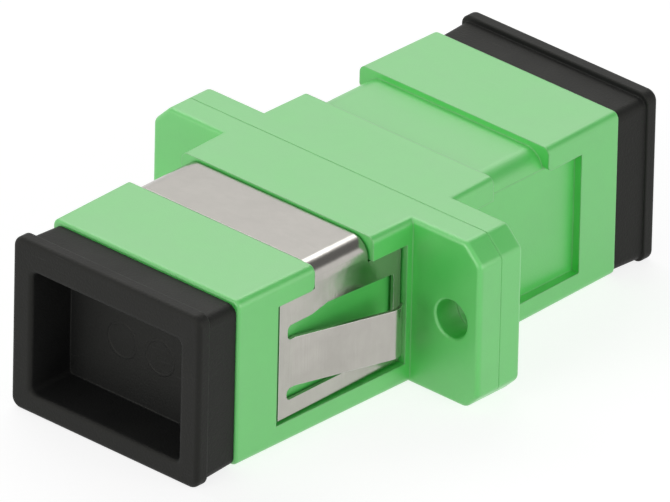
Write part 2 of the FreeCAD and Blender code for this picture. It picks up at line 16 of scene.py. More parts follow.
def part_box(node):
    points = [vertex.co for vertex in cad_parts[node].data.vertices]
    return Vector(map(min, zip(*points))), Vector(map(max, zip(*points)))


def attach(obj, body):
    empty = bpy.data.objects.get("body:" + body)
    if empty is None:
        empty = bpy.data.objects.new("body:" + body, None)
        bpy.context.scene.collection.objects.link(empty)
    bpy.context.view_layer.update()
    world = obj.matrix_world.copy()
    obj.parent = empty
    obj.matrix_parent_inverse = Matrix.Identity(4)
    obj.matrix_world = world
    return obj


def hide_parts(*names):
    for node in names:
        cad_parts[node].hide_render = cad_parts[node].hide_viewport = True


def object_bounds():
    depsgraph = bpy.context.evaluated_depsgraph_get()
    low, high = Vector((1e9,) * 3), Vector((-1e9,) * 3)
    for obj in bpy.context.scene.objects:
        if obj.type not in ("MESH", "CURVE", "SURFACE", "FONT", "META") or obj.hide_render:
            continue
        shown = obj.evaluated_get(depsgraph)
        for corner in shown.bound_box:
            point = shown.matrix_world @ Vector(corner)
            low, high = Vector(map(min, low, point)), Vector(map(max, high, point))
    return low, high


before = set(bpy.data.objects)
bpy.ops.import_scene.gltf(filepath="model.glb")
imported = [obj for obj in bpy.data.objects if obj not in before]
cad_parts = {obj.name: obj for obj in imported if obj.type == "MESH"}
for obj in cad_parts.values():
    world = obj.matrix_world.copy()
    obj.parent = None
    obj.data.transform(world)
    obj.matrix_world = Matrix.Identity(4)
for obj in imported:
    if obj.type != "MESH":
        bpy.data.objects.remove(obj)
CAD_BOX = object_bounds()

bl_info = {
    "name": "Fibre Adapter Studio",
    "version": (1, 0, 0),
    "blender": (4, 5, 0),
    "location": "View3D > Sidebar > Adapter",
    "description": "Finishes, mould marks and studio for an SC simplex fibre adapter",
    "category": "Object",
}

HOUSINGS = ("housing_front", "housing_rear")
INSERTS = ("latch_insert_front", "latch_insert_rear")
CAPS = (("dust_cap_front", "front_cap", -1), ("dust_cap_rear", "rear_cap", 1))
MM = 0.001
SHARP = math.radians(30)            # joined corners that turn further than this stay crisp
SOFT_EDGE = 0.12 * MM               # rounding that moulded edges show in the light
RING_WIDE = 0.2 * MM                # flash ring, across its section
SUNK = 0.01 * MM                    # how far a mark's foot goes into its wall
GATE_PLACE = 0.75                   # gate stub, share of the way to the open end
TENT_GAP_WAY = (0.321, 0.653, 0.686)  # where the light tent opens
TENT_GAP_EDGE = (0.90, 0.96)        # cosine off that way at the gap's rim and at its dark part
FLOOR_REACH = 3.0                   # floor sheet, half its side
FLOOR_SEEN = 0.45                   # share of the floor's own light where white is added
BACK_PANEL = ((0.50, 0.20), 240, 51, 0.45)   # size, azimuth, elevation, distance
FRONT_PANEL = ((0.36, 0.30), -8, 12, 0.50)
SIDE_PANEL = ((0.36, 0.30), 98, 12, 0.50)


# ---------------------------------------------------------------- settings

class AdapterPlastic(bpy.types.PropertyGroup):
    """The moulded green of the housing."""
    colour: FloatVectorProperty(
        name="Green", description="Body colour of the housing", subtype="COLOR", size=3,
        min=0, max=1, default=(0.064, 0.69, 0.096))
    deep_colour: FloatVectorProperty(
        name="Deep green", description="Colour where the moulding is thickest", subtype="COLOR",
        size=3, min=0, max=1, default=(0.050, 0.65, 0.084))
    # paler edge colour: partly handling wear, partly a painted highlight on the corners
    worn_and_lit_edge_colour: FloatVectorProperty(
        name="Rubbed edge", description="Colour of edges rubbed pale by handling",
        subtype="COLOR", size=3, min=0, max=1, default=(0.25, 0.62, 0.26))
    roughness: FloatProperty(
        name="Roughness", description="Roughness of the moulded skin", min=0, max=1,
        default=0.50)
    grain: FloatProperty(
        name="Grain", description="Size of one grain of the mould's texture", unit="LENGTH",
        default=0.09 * MM)


class AdapterInner(bpy.types.PropertyGroup):
    """The latch inserts and the ceramic sleeve inside."""
    insert_colour: FloatVectorProperty(
        name="Insert", description="Natural colour of the latch inserts", subtype="COLOR",
        size=3, min=0, max=1, default=(0.66, 0.64, 0.55))
    sleeve_colour: FloatVectorProperty(
        name="Sleeve", description="Colour of the ceramic sleeve", subtype="COLOR", size=3,
        min=0, max=1, default=(0.80, 0.79, 0.76))


class AdapterSteel(bpy.types.PropertyGroup):
    """The spring clip's sheet."""
    colour: FloatVectorProperty(
        name="Steel", description="Colour of the rolled sheet", subtype="COLOR", size=3,
        min=0, max=1, default=(0.50, 0.48, 0.445))
    roughness: FloatProperty(
        name="Roughness", description="Roughness between the rolling lines", min=0, max=1,
        default=0.17)
    line: FloatProperty(
        name="Rolling line", description="Width of one line left by the rolling mill",
        unit="LENGTH", default=0.07 * MM)


class AdapterCap(bpy.types.PropertyGroup):
    """The dust caps and the marks in their recesses."""
    colour: FloatVectorProperty(
        name="Black", description="Colour of the dust caps", subtype="COLOR", size=3,
        min=0, max=1, default=(0.0115, 0.012, 0.0122))
    roughness: FloatProperty(
        name="Roughness", description="Roughness of the soft black skin", min=0, max=1,
        default=0.55)
    grain: FloatProperty(
        name="Grain", description="Size of one grain of the mould's texture", unit="LENGTH",
        default=0.11 * MM)
    recess_deep: FloatProperty(
        name="Recess depth", description="Rim face to the floor of the outer recess",
        unit="LENGTH", default=2.7 * MM)
    recess_drop: FloatProperty(
        name="Recess drop", description="Recess centre below the plugging axis",
        unit="LENGTH", default=0.3 * MM)
    ring_radius: FloatProperty(
        name="Pin mark radius", description="Radius of each ejector pin's mark",
        unit="LENGTH", default=0.95 * MM)
    ring_pitch: FloatProperty(
        name="Pin mark pitch", description="Distance between the two pin marks",
        unit="LENGTH", default=2.6 * MM)
    ring_high: FloatProperty(
        name="Pin mark height", description="Height of the flash round a pin mark",
        unit="LENGTH", default=0.022 * MM)


class AdapterMarks(bpy.types.PropertyGroup):
    """Mould marks under the housing."""
    gate_radius: FloatProperty(
        name="Gate radius", description="Radius of the sheared gate stub", unit="LENGTH",
        default=0.45 * MM)
    gate_high: FloatProperty(
        name="Gate height", description="How far the sheared gate stub stands proud",
        unit="LENGTH", default=0.06 * MM)
    facets: IntProperty(
        name="Smoothness", description="Points round each mark", min=24, max=256, default=96)


class AdapterStudio(bpy.types.PropertyGroup):
    """Camera, lamps and floor."""
    azimuth: FloatProperty(
        name="Azimuth", description="Camera turned from the front towards +X",
        subtype="ANGLE", default=math.radians(42.0))
    elevation: FloatProperty(
        name="Elevation", description="Camera above the floor's plane", subtype="ANGLE",
        default=math.radians(28.51))
    roll: FloatProperty(
        name="Roll", description="Camera turned about its own axis", subtype="ANGLE",
        default=math.radians(1.29))
    distance: FloatProperty(
        name="Distance", description="Camera to the adapter", unit="LENGTH", default=1.179)
    aim: FloatVectorProperty(
        name="Aim", description="Point the camera looks at", subtype="TRANSLATION",
        unit="LENGTH", size=3, default=(0.05 * MM, -0.11 * MM, -0.21 * MM))
    lens: FloatProperty(
        name="Lens", description="Focal length in millimetres, on a 36 mm sensor",
        default=1250.0)
    surround: FloatProperty(
        name="Surround", description="Level of the light tent round the adapter", min=0,
        max=2, default=0.42)
    ceiling: FloatProperty(
        name="Ceiling", description="How much dimmer the tent is overhead", min=0, max=1,
        default=0.7)
    gap: FloatProperty(
        name="Gap", description="How dark the tent's opening shows in shiny faces", min=0,
        max=1, default=0.8)
    floor_colour: FloatVectorProperty(
        name="Floor", description="Colour of the floor sheet", subtype="COLOR", size=3,
        min=0, max=1, default=(0.82, 0.82, 0.82))
    floor_lift: FloatProperty(
        name="Floor lift", description="White added to the floor where it is seen", min=0,
        max=1, default=0.82)
    back_power: FloatProperty(
        name="Back panel", description="Soft panel behind and above", subtype="POWER",
        default=0.62)
    front_power: FloatProperty(
        name="Front panel", description="Soft panel in front", subtype="POWER", default=0.89)
    side_power: FloatProperty(
        name="Side panel", description="Soft panel to the right", subtype="POWER",
        default=0.73)


GROUPS = (
    (AdapterPlastic, "adapter_plastic"), (AdapterInner, "adapter_inner"),
    (AdapterSteel, "adapter_steel"), (AdapterCap, "adapter_cap"),
    (AdapterMarks, "adapter_marks"), (AdapterStudio, "adapter_studio"),
)


# ---------------------------------------------------------------- shading helpers

def add(tree, kind, place, inputs=None, **settings):
    """A node of one kind; each input is a plain value or the socket that feeds it."""
    node = tree.nodes.new(kind)
    node.location = place
    for key, value in settings.items():
        setattr(node, key, value)
    for key, value in (inputs or {}).items():
        if isinstance(value, bpy.types.NodeSocket):
            tree.links.new(value, node.inputs[key])
        else:
            node.inputs[key].default_value = value
    return node


def blend_colour(tree, place, share, first, second):
    """Colour mix whose share and colours may be values or sockets."""
    node = add(tree, "ShaderNodeMix", place, data_type="RGBA")
    for socket, value in ((node.inputs[0], share), (node.inputs[6], first),
                          (node.inputs[7], second)):
        if isinstance(value, bpy.types.NodeSocket):
            tree.links.new(value, socket)
        else:
            socket.default_value = value if socket is node.inputs[0] else (*value[:3], 1)
    return node.outputs[2]


def sums(tree, place, operation, *values):
    """Math node on plain values or sockets."""
    node = add(tree, "ShaderNodeMath", place, operation=operation)
    for socket, value in zip(node.inputs, values):
        if isinstance(value, bpy.types.NodeSocket):
            tree.links.new(value, socket)
        else:
            socket.default_value = value
    return node.outputs[0]


def span(tree, place, value, low, high, to_low=0.0, to_high=1.0):
    """Value taken from low..high to to_low..to_high, held at the ends."""
    node = add(tree, "ShaderNodeMapRange", place, {
        "Value": value, "From Min": low, "From Max": high, "To Min": to_low,
        "To Max": to_high}, clamp=True)
    return node.outputs[0]


def new_group(name, inputs, outputs):
    """Empty shader group with named float, colour or vector sockets."""
    group = bpy.data.node_groups.new(name, "ShaderNodeTree")
    for way, sockets in (("INPUT", inputs), ("OUTPUT", outputs)):
        for label, kind, value in sockets:
            socket = group.interface.new_socket(name=label, in_out=way,
                                                socket_type="NodeSocket" + kind)
            if value is not None:
                socket.default_value = value
    start = add(group, "NodeGroupInput", (-900, 0))
    end = add(group, "NodeGroupOutput", (900, 0))
    return group, start.outputs, end.inputs


def mould_grain():
    """Spark-eroded mould texture: fine grain, small pits and slow waves.

    Height is in metres of relief; Mottle is a slow 0..1 drift for colour.
    """
    group = bpy.data.node_groups.get("mould_grain")
    if group:
        return group
    group, given, out = new_group("mould_grain", (
        ("Grain", "Float", 0.1 * MM), ("Relief", "Float", 0.004 * MM),
        ("Waves", "Float", 0.01 * MM)),
        (("Height", "Float", None), ("Mottle", "Float", None)))
    spot = add(group, "ShaderNodeTexCoord", (-900, -250)).outputs["Object"]
    per_metre = sums(group, (-720, 120), "DIVIDE", 1.0, given["Grain"])
    grain = add(group, "ShaderNodeTexNoise", (-520, 220), {
        "Vector": spot, "Scale": per_metre, "Detail": 2.0, "Roughness": 0.6})
    pits = add(group, "ShaderNodeTexVoronoi", (-520, -40), {
        "Vector": spot, "Scale": per_metre}, feature="SMOOTH_F1")
    waves = add(group, "ShaderNodeTexNoise", (-520, -300), {
        "Vector": spot, "Scale": 210.0, "Detail": 1.0})
    mottle = add(group, "ShaderNodeTexNoise", (-520, -560), {
        "Vector": spot, "Scale": 420.0, "Detail": 4.0, "Roughness": 0.55})
    pit = span(group, (-300, -40), pits.outputs["Distance"], 0.1, 0.6)
    fine = sums(group, (-120, 150), "MULTIPLY_ADD", grain.outputs[0], 0.6, pit)
    fine = sums(group, (80, 150), "MULTIPLY", fine, given["Relief"])
    slow = sums(group, (80, -150), "MULTIPLY", waves.outputs[0], given["Waves"])
    group.links.new(sums(group, (280, 0), "ADD", fine, slow), out["Height"])
    group.links.new(span(group, (280, -350), mottle.outputs[0], 0.3, 0.7), out["Mottle"])
    return group


def edge_catch():
    """Mask of the corners: 0 on flats, rising to 1 where the form turns within Radius."""
    group = bpy.data.node_groups.get("edge_catch")
    if group:
        return group
    group, given, out = new_group("edge_catch", (
        ("Radius", "Float", 0.12 * MM), ("Gain", "Float", 6.0)), (("Mask", "Float", None),))
    rounded = add(group, "ShaderNodeBevel", (-500, 100), {"Radius": given["Radius"]}, samples=4)
    flat = add(group, "ShaderNodeNewGeometry", (-500, -150))
    match = add(group, "ShaderNodeVectorMath", (-250, 0), {
        0: rounded.outputs[0], 1: flat.outputs["Normal"]}, operation="DOT_PRODUCT")
    turn = sums(group, (-50, 0), "SUBTRACT", 1.0, match.outputs["Value"])
    node = add(group, "ShaderNodeMath", (150, 0), {0: turn, 1: given["Gain"]},
               operation="MULTIPLY", use_clamp=True)
    group.links.new(node.outputs[0], out["Mask"])
    return group


def handling():
    """Traces of handling: Scuffs, short hairline scratches, and Dust, sparse pale specks."""
    group = bpy.data.node_groups.get("handling")
    if group:
        return group
    group, given, out = new_group("handling", (("Amount", "Float", 0.5),),
                                  (("Scuffs", "Float", None), ("Dust", "Float", None)))
    spot = add(group, "ShaderNodeTexCoord", (-900, -250)).outputs["Object"]
    lines = []
    for turn, place in ((0.5, 300), (-0.7, 50)):
        laid = add(group, "ShaderNodeMapping", (-700, place), {
            "Vector": spot, "Rotation": (turn, 0.4 * turn, turn),
            "Scale": (350.0, 9000.0, 6000.0)})
        streak = add(group, "ShaderNodeTexNoise", (-500, place), {
            "Vector": laid.outputs[0], "Scale": 1.0, "Detail": 1.0})
        lines.append(span(group, (-300, place), streak.outputs[0], 0.70, 0.76))
    patches = add(group, "ShaderNodeTexNoise", (-500, -200), {
        "Vector": spot, "Scale": 300.0, "Detail": 2.0})
    patch = span(group, (-300, -200), patches.outputs[0], 0.48, 0.62)
    scuffs = sums(group, (-100, 150), "MAXIMUM", *lines)
    scuffs = sums(group, (80, 100), "MULTIPLY", scuffs, patch)
    group.links.new(sums(group, (260, 100), "MULTIPLY", scuffs, given["Amount"]), out["Scuffs"])
    specks = add(group, "ShaderNodeTexVoronoi", (-500, -450), {
        "Vector": spot, "Scale": 2600.0})
    speck = span(group, (-300, -450), specks.outputs["Distance"], 0.06, 0.03)
    chosen = add(group, "ShaderNodeSeparateColor", (-300, -650), {0: specks.outputs["Color"]})
    rare = sums(group, (-100, -600), "GREATER_THAN", chosen.outputs[0], 0.93)
    dust = sums(group, (80, -450), "MULTIPLY", speck, rare)
    group.links.new(sums(group, (260, -400), "MULTIPLY", dust, given["Amount"]), out["Dust"])
    return group


def new_material(name):
    """Material with an empty tree but for its Principled shader and output."""
    material = bpy.data.materials.new(name)
    material.use_nodes = True
    tree = material.node_tree
    shader = tree.nodes["Principled BSDF"]
    shader.location, tree.nodes["Material Output"].location = (500, 0), (800, 0)
    return material, tree, shader


def moulded(name, colour, deep, edge, roughness, grain, relief, wear_and_highlight=0.35, specular=0.5,
            coat=0.0, dust=0.3, ior=1.5):
    """Moulded plastic: mottled colour, spark-eroded grain, edges made paler (partly rubbed wear,
    partly a painted highlight), scuffs and dust.
    """
    material, tree, shader = new_material(name)
    skin = add(tree, "ShaderNodeGroup", (-700, -250), node_tree=mould_grain())
    skin.inputs["Grain"].default_value = grain
    skin.inputs["Relief"].default_value = relief
    skin.inputs["Waves"].default_value = 0.012 * MM
    corners = add(tree, "ShaderNodeGroup", (-700, 200), node_tree=edge_catch())
    traces = add(tree, "ShaderNodeGroup", (-700, 0), node_tree=handling())
    traces.inputs["Amount"].default_value = dust
    body = blend_colour(tree, (-450, 250), skin.outputs["Mottle"], deep, colour)
    # corners blend towards the paler edge colour: partly handling wear, partly a painted highlight
    # where light catches the edges
    rubbed = sums(tree, (-450, 50), "MULTIPLY", corners.outputs["Mask"], wear_and_highlight)
    body = blend_colour(tree, (-230, 250), rubbed, body, edge)
    pale = [min(1.0, 0.5 * c + 0.35) for c in colour]
    marks = sums(tree, (-230, 50), "ADD", traces.outputs["Scuffs"], traces.outputs["Dust"])
    body = blend_colour(tree, (0, 250), marks, body, pale)
    tree.links.new(body, shader.inputs["Base Color"])
    drift = sums(tree, (-230, -120), "MULTIPLY_ADD", skin.outputs["Mottle"], 0.06,
                 roughness - 0.03)
    smoothed = sums(tree, (0, -60), "MULTIPLY_ADD", corners.outputs["Mask"], -0.10, drift)
    tree.links.new(sums(tree, (200, -60), "MULTIPLY_ADD", marks, 0.2, smoothed),
                   shader.inputs["Roughness"])
    rounded = add(tree, "ShaderNodeBevel", (-230, -480), {"Radius": SOFT_EDGE}, samples=6)
    bump = add(tree, "ShaderNodeBump", (200, -300), {
        "Height": skin.outputs["Height"], "Normal": rounded.outputs[0], "Distance": 1.0,
        "Strength": 1.0})
    tree.links.new(bump.outputs[0], shader.inputs["Normal"])
    shader.inputs["Specular IOR Level"].default_value = specular
    shader.inputs["IOR"].default_value = ior
    shader.inputs["Coat IOR"].default_value = ior
    shader.inputs["Specular Tint"].default_value = (1.0, 0.98, 0.85, 1.0)
    shader.inputs["Coat Weight"].default_value = coat
    shader.inputs["Coat Roughness"].default_value = 0.4
    return material


def rolled_steel(values):
    """Rolled sheet: lines along the strip and down the plates, smudges, cut edges made brighter
    (partly fresh shear, partly a painted highlight).
    """
    material, tree, shader = new_material("rolled_steel")
    spot = add(tree, "ShaderNodeTexCoord", (-1100, 0)).outputs["Object"]
    fine = 1.0 / values.line
    laid = add(tree, "ShaderNodeMapping", (-900, 150), {
        "Vector": spot, "Scale": (0.02 * fine, fine, 0.02 * fine)})
    lines = add(tree, "ShaderNodeTexNoise", (-700, 150), {
        "Vector": laid.outputs[0], "Scale": 1.0, "Detail": 3.0, "Roughness": 0.65})
    smudge = add(tree, "ShaderNodeTexNoise", (-700, -150), {
        "Vector": spot, "Scale": 330.0, "Detail": 4.0, "Roughness": 0.6})
    smudged = span(tree, (-500, -150), smudge.outputs[0], 0.4, 0.68)
    corners = add(tree, "ShaderNodeGroup", (-700, -400), node_tree=edge_catch())
    corners.inputs["Radius"].default_value = 0.06 * MM
    traces = add(tree, "ShaderNodeGroup", (-700, -600), node_tree=handling())
    traces.inputs["Amount"].default_value = 0.12
    dull = [0.86 * c for c in values.colour]
    base = blend_colour(tree, (-250, 200), smudged, values.colour, dull)
    line = span(tree, (-500, 300), lines.outputs[0], 0.3, 0.7, 0.0, 0.35)
    base = blend_colour(tree, (0, 200), line, base, [0.8 * c for c in values.colour])
    # edges blended towards near white: partly the bright sheared cut, partly a painted highlight
    cut_edge_and_highlight = sums(tree, (-250, -350), "MULTIPLY", corners.outputs["Mask"], 0.55)
    base = blend_colour(tree, (200, 200), cut_edge_and_highlight, base, (0.82, 0.81, 0.79))
    tree.links.new(base, shader.inputs["Base Color"])
    rough = sums(tree, (-250, -50), "MULTIPLY_ADD", lines.outputs[0], 0.08,
                 values.roughness - 0.04)
    rough = sums(tree, (0, -50), "MULTIPLY_ADD", smudged, 0.05, rough)
    tree.links.new(sums(tree, (200, -50), "MULTIPLY_ADD", traces.outputs["Scuffs"], 0.25, rough),
                   shader.inputs["Roughness"])
    rounded = add(tree, "ShaderNodeBevel", (0, -450), {"Radius": 0.04 * MM}, samples=4)
    relief = sums(tree, (-250, -200), "MULTIPLY", lines.outputs[0], 0.0016 * MM)
    buckle = sums(tree, (0, -250), "MULTIPLY_ADD", smudge.outputs[0], 0.02 * MM, relief)
    bump = add(tree, "ShaderNodeBump", (200, -300), {
        "Height": buckle, "Normal": rounded.outputs[0], "Distance": 1.0})
    tree.links.new(bump.outputs[0], shader.inputs["Normal"])
    shader.inputs["Metallic"].default_value = 1.0
    return material


def ceramic(values):
    """Polished zirconia: faint warm cloud, fine grinding lines round the sleeve."""
    material, tree, shader = new_material("ceramic")
    spot = add(tree, "ShaderNodeTexCoord", (-900, 0)).outputs["Object"]
    cloud = add(tree, "ShaderNodeTexNoise", (-600, 150), {
        "Vector": spot, "Scale": 700.0, "Detail": 4.0})
    laid = add(tree, "ShaderNodeMapping", (-780, -150), {
        "Vector": spot, "Scale": (300.0, 14000.0, 300.0)})
    ground = add(tree, "ShaderNodeTexNoise", (-600, -150), {
        "Vector": laid.outputs[0], "Scale": 1.0, "Detail": 2.0})
    warm = [0.94 * c * t for c, t in zip(values.sleeve_colour, (1.0, 0.97, 0.90))]
    base = blend_colour(tree, (-200, 200), cloud.outputs[0], values.sleeve_colour, warm)
    tree.links.new(base, shader.inputs["Base Color"])
    tree.links.new(span(tree, (-200, -50), ground.outputs[0], 0.3, 0.7, 0.14, 0.26),
                   shader.inputs["Roughness"])
    relief = sums(tree, (-200, -300), "MULTIPLY", ground.outputs[0], 0.001 * MM)
    bump = add(tree, "ShaderNodeBump", (200, -300), {"Height": relief, "Distance": 1.0})
    tree.links.new(bump.outputs[0], shader.inputs["Normal"])
    return material


def dress(node, material):
    """Give a CAD node its finish in every material slot it has."""
    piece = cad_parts[node]
    if not piece.material_slots:
        piece.data.materials.append(material)
    for slot in piece.material_slots:
        slot.material = material


# ---------------------------------------------------------------- mesh helpers

def grid_mesh(name, points, closed_u=False):
    """Quad mesh over a (u, v, 3) array of points, joined round along u where that is closed."""
    rows, columns = points.shape[:2]
    u = np.arange(rows if closed_u else rows - 1)
    v = np.arange(columns - 1)
    u, v = np.meshgrid(u, v, indexing="ij")
    un, vn = (u + 1) % rows, v + 1
    faces = np.stack([u * columns + v, un * columns + v, un * columns + vn,
                      u * columns + vn], axis=-1).reshape(-1, 4)
    mesh = bpy.data.meshes.new(name)
    mesh.from_pydata(points.reshape(-1, 3), [], faces)
    mesh.validate()
    mesh.polygons.foreach_set("use_smooth", np.ones(len(mesh.polygons), bool))
    mesh.update()
    return mesh


def turned_profile(radius, height, facets):
    """Points of a profile turned about Z.

    For angle a round and profile point (r, h): (r cos a, r sin a, h).
    """
    a = np.linspace(0, 2 * np.pi, facets, endpoint=False)
    r, h = np.asarray(radius), np.asarray(height)
    return np.stack([np.outer(np.cos(a), r), np.outer(np.sin(a), r),
                     np.broadcast_to(h, (facets, len(h)))], axis=-1)


def placed(points, centre, out):
    """Points whose Z axis is turned to the outward direction, then moved to a centre."""
    turn = np.array(Vector((0, 0, 1)).rotation_difference(Vector(out)).to_matrix())
    return points @ turn.T + np.array(centre)


def new_piece(name, meshes, material, body):
    """One object from several meshes, at the origin, riding on a body."""
    verts, faces, start = [], [], 0
    for mesh in meshes:
        co = np.empty(len(mesh.vertices) * 3)
        mesh.vertices.foreach_get("co", co)
        verts.append(co.reshape(-1, 3))
        corners = np.empty(len(mesh.loops), int)
        mesh.loops.foreach_get("vertex_index", corners)
        faces.extend((corners.reshape(-1, 4) + start).tolist())
        start += len(mesh.vertices)
        bpy.data.meshes.remove(mesh)
    whole = bpy.data.meshes.new(name)
    whole.from_pydata(np.concatenate(verts), [], faces)
    whole.polygons.foreach_set("use_smooth", np.ones(len(whole.polygons), bool))
    whole.update()
    whole.materials.append(material)
    piece = bpy.data.objects.new(name, whole)
    bpy.context.scene.collection.objects.link(piece)
    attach(piece, body)
    return piece


def smooth_copy(name, node, material, body):
    """Copy of a CAD node with its corners joined, smooth but for its sharp edges."""
    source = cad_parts[node]
    work = bmesh.new()
    work.from_mesh(source.data)
    work.transform(source.matrix_world)
    bmesh.ops.remove_doubles(work, verts=work.verts, dist=1e-6)
    for face in work.faces:
        face.smooth = True
    for edge in work.edges:
        edge.smooth = edge.calc_face_angle(math.pi) < SHARP
    whole = bpy.data.meshes.new(name)
    work.to_mesh(whole)
    work.free()
    if "custom_normal" in whole.attributes:
        whole.attributes.remove(whole.attributes["custom_normal"])
    whole.materials.clear()
    whole.materials.append(material)
    piece = bpy.data.objects.new(name, whole)
    bpy.context.scene.collection.objects.link(piece)
    piece.modifiers.new("even_faces", "WEIGHTED_NORMAL").keep_sharp = True
    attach(piece, body)
    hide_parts(node)
    return piece


# ---------------------------------------------------------------- finishes

class ADAPTER_OT_housing(bpy.types.Operator):
    """Finish both housing halves in moulded green"""
    bl_idname = "adapter.housing"
    bl_label = "Housing"

    def execute(self, context):
        values = context.scene.adapter_plastic
        green = moulded("moulded_green", values.colour, values.deep_colour,
                        values.worn_and_lit_edge_colour, values.roughness, values.grain, 0.0035 * MM,
                        wear_and_highlight=0.55, specular=1.0, coat=1.0, dust=0.07, ior=1.64)
        for node in HOUSINGS:
            dress(node, green)
            smooth_copy("moulded_" + node, node, green, "adapter")
        return {"FINISHED"}


class ADAPTER_OT_inner(bpy.types.Operator):
    """Finish the latch inserts and the ceramic sleeve"""
    bl_idname = "adapter.inner"
    bl_label = "Inserts and sleeve"

    def execute(self, context):
        values = context.scene.adapter_inner
        deep = [0.93 * c for c in values.insert_colour]
        # pale is the inserts' edge colour: partly handling wear, partly a painted highlight on the
        # corners
        pale = [min(1.0, 1.12 * c) for c in values.insert_colour]
        ivory = moulded("moulded_ivory", values.insert_colour, deep, pale, 0.38, 0.12 * MM,
                        0.003 * MM, wear_and_highlight=0.5, dust=0.15)
        for node in INSERTS:
            dress(node, ivory)
        dress("alignment_sleeve", ceramic(values))
        return {"FINISHED"}


class ADAPTER_OT_clip(bpy.types.Operator):
    """Finish the spring clip in rolled steel"""
    bl_idname = "adapter.clip"
    bl_label = "Spring clip"

    def execute(self, context):
        steel = rolled_steel(context.scene.adapter_steel)
        dress("spring_clip", steel)
        smooth_copy("clip_sheet", "spring_clip", steel, "adapter")
        return {"FINISHED"}


class ADAPTER_OT_caps(bpy.types.Operator):
    """Finish the dust caps in matte black"""
    bl_idname = "adapter.caps"
    bl_label = "Dust caps"

    def execute(self, context):
        values = context.scene.adapter_cap
        deep = [0.85 * c for c in values.colour]
        # the lighter black given for the edges is partly handling wear, partly a painted highlight
        # on the corners
        black = moulded("moulded_black", values.colour, deep, (0.035, 0.036, 0.037),
                        values.roughness, values.grain, 0.006 * MM, wear_and_highlight=0.6, specular=0.22,
                        dust=0.035)
        for node, body, _way in CAPS:
            dress(node, black)
            smooth_copy("moulded_" + node, node, black, body)
        return {"FINISHED"}


class ADAPTER_OT_pin_marks(bpy.types.Operator):
    """Raise the flash rings that the ejector pins leave on each cap's recess floor"""
    bl_idname = "adapter.pin_marks"
    bl_label = "Ejector pin marks"

    def ring(self, values, facets):
        """Ring of flash: height h(t) = high (1 - t^2) over t in -1..1, radius r + t w / 2."""
        t = np.linspace(-1, 1, 13)
        radius = values.ring_radius + t * RING_WIDE / 2
        height = values.ring_high * (1 - t ** 2) - SUNK * np.abs(t) ** 8
        return turned_profile(radius, height, facets)

    def execute(self, context):
        values = context.scene.adapter_cap
        facets = context.scene.adapter_marks.facets
        black = bpy.data.materials.get("moulded_black")
        if black is None:
            raise RuntimeError("the dust caps are finished before their pin marks are made")
        for node, body, way in CAPS:
            low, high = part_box(node)
            face = low[1] if way < 0 else high[1]
            floor = face - way * values.recess_deep
            meshes = []
            for side in (-1, 1):
                centre = (side * values.ring_pitch / 2, floor, -values.recess_drop)
                points = placed(self.ring(values, facets), centre, (0, way, 0))
                meshes.append(grid_mesh("pin_mark", points, closed_u=True))
            new_piece("pin_marks_" + node.rsplit("_", 1)[1], meshes, black, body)
        return {"FINISHED"}


class ADAPTER_OT_gate_marks(bpy.types.Operator):
    """Add the sheared gate stub under each housing half"""
    bl_idname = "adapter.gate_marks"
    bl_label = "Gate marks"

    def stub(self, values):
        """Sheared stub: a flat top with a rounded shoulder, sunk a little into the wall."""
        s = np.linspace(0, 1, 11)
        radius = values.gate_radius * np.concatenate([[0.001], 0.75 + 0.25 * np.sin(s * np.pi / 2)])
        height = np.concatenate([[1.0], np.cos(s * np.pi / 2)]) * values.gate_high - SUNK
        return turned_profile(radius, height, values.facets)

    def execute(self, context):
        values = context.scene.adapter_marks
        green = bpy.data.materials.get("moulded_green")
        if green is None:
            raise RuntimeError("the housing is finished before its gate marks are made")
        for node in HOUSINGS:
            low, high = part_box(node)
            y = GATE_PLACE * (low[1] if node.endswith("front") else high[1])
            points = placed(self.stub(values), (0, y, low[2]), (0, 0, -1))
            mesh = grid_mesh("gate", points, closed_u=True)
            new_piece("gate_mark_" + node.rsplit("_", 1)[1], [mesh], green, "adapter")
        return {"FINISHED"}


# ---------------------------------------------------------------- studio

def soft_panel(name, power, size, azimuth, elevation, distance):
    """Area lamp facing the adapter from one direction, unseen by the camera itself."""
    lamp = bpy.data.lights.new(name, "AREA")
    lamp.shape, lamp.size, lamp.size_y, lamp.energy = "RECTANGLE", size[0], size[1], power
    az, el = math.radians(azimuth), math.radians(elevation)
    place = distance * Vector((math.sin(az) * math.cos(el), -math.cos(az) * math.cos(el),
                               math.sin(el)))
    panel = bpy.data.objects.new(name, lamp)
    panel.matrix_world = (Matrix.Translation(place)
                          @ place.to_track_quat("Z", "Y").to_matrix().to_4x4())
    panel.visible_camera = False
    bpy.context.scene.collection.objects.link(panel)
    return panel


